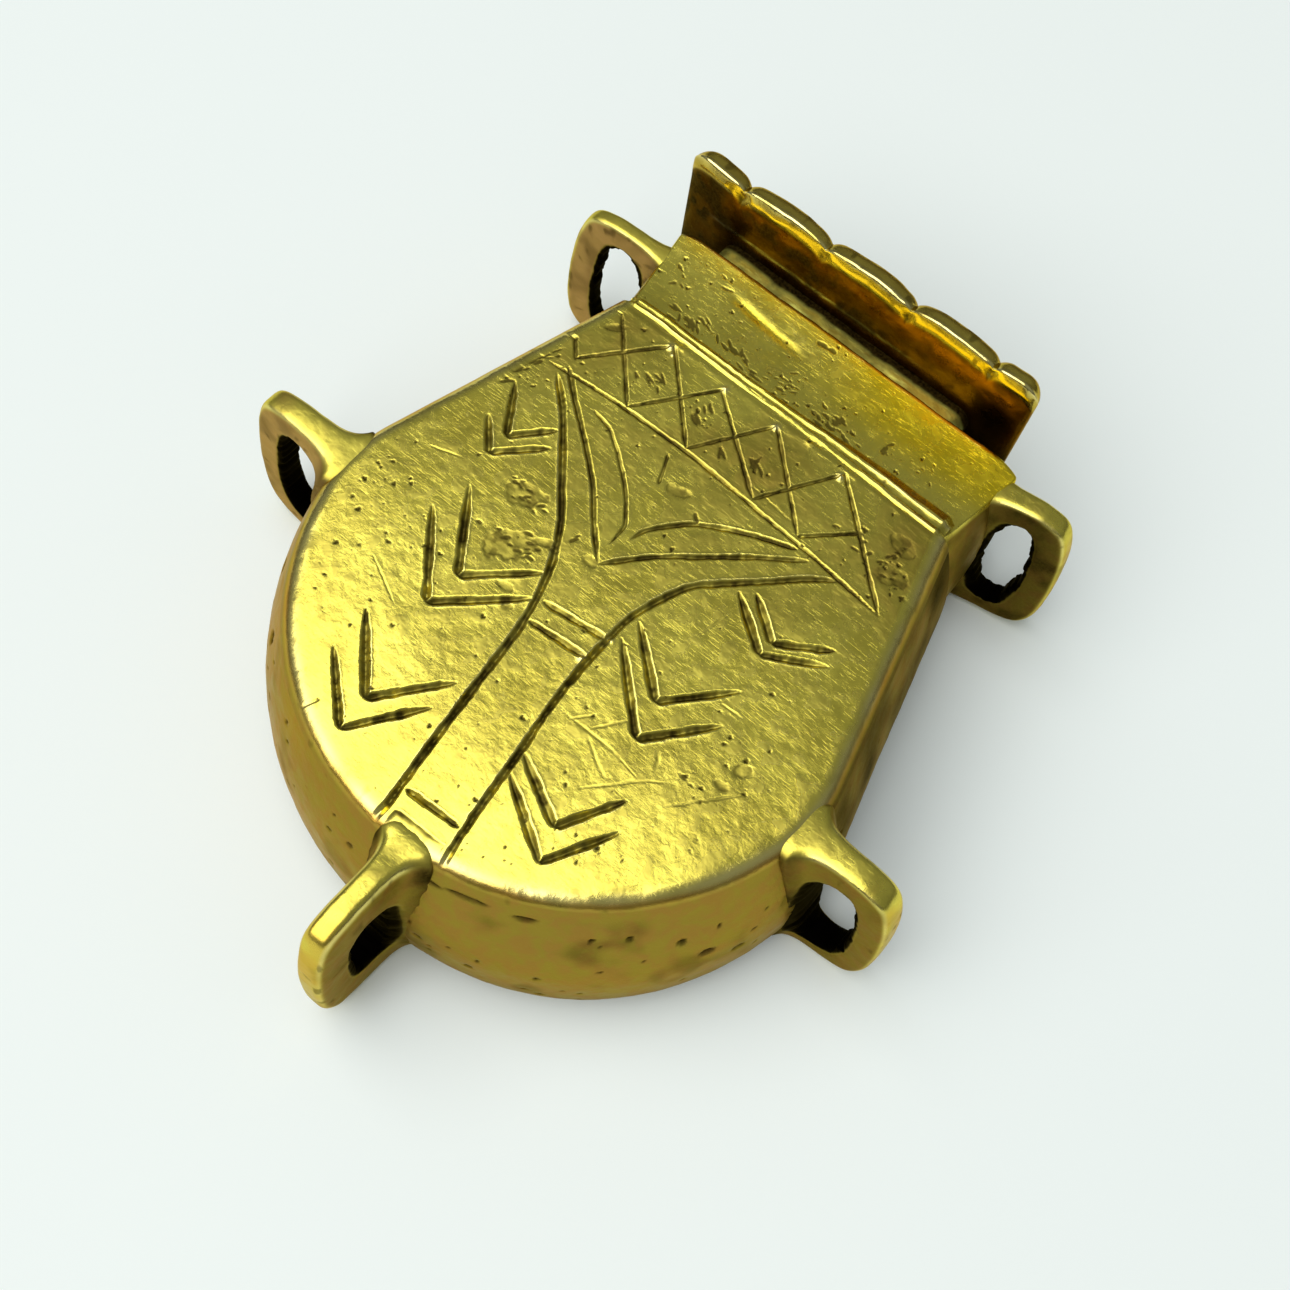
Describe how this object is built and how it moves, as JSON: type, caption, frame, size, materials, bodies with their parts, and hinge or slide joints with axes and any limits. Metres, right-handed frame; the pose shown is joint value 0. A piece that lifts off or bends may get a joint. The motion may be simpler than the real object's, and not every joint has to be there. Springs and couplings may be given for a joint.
{
  "type": "needle case",
  "caption": "Flat purse-shaped cast brass needle case with an engraved face, cord lugs round its edge and a scalloped lid whose plug slides out of the neck carrying the needles.",
  "frame": {"origin": "centre of the round belly, on the flat back that the case lies on", "axes": "+Y towards the neck and the lid, +X to the right seen from the engraved face, +Z out of the engraved face"},
  "size_m": [0.0574, 0.0621, 0.0202],
  "materials": {
    "case_brass": "hand-polished cast brass, worn bright on the face and edges, brown in pits and engraved lines",
    "lug_brass": "cast brass with a brown patina, bright on worn edges",
    "lid_brass": "polished brass with a dark brown patina and bright worn edge",
    "plug_brass": "rough filed brass, pale and dull",
    "felt": "dense wool felt",
    "needle_steel": "polished steel, flattened at the eye"
  },
  "bodies": {
    "case": {"front_plate": "case_brass", "side_band": "case_brass", "back_plate": "case_brass", "neck_sleeve": "case_brass", "neck_bead": "case_brass", "lug_neck_left": "lug_brass", "lug_neck_right": "lug_brass", "lug_side_left": "lug_brass", "lug_side_right": "lug_brass", "lug_bottom": "lug_brass"},
    "lid": {"lid_plate": "lid_brass", "lid_plug": "plug_brass", "needle_felt": "felt", "needle_1": "needle_steel", "needle_2": "needle_steel", "needle_3": "needle_steel", "needle_4": "needle_steel", "needle_5": "needle_steel", "needle_6": "needle_steel"}
  },
  "joints": [
    {"name": "lid_slide", "type": "slide", "parent": "case", "child": "lid", "axis": [0, 1, 0], "range_m": [-0.0019, 0.042]}
  ]
}
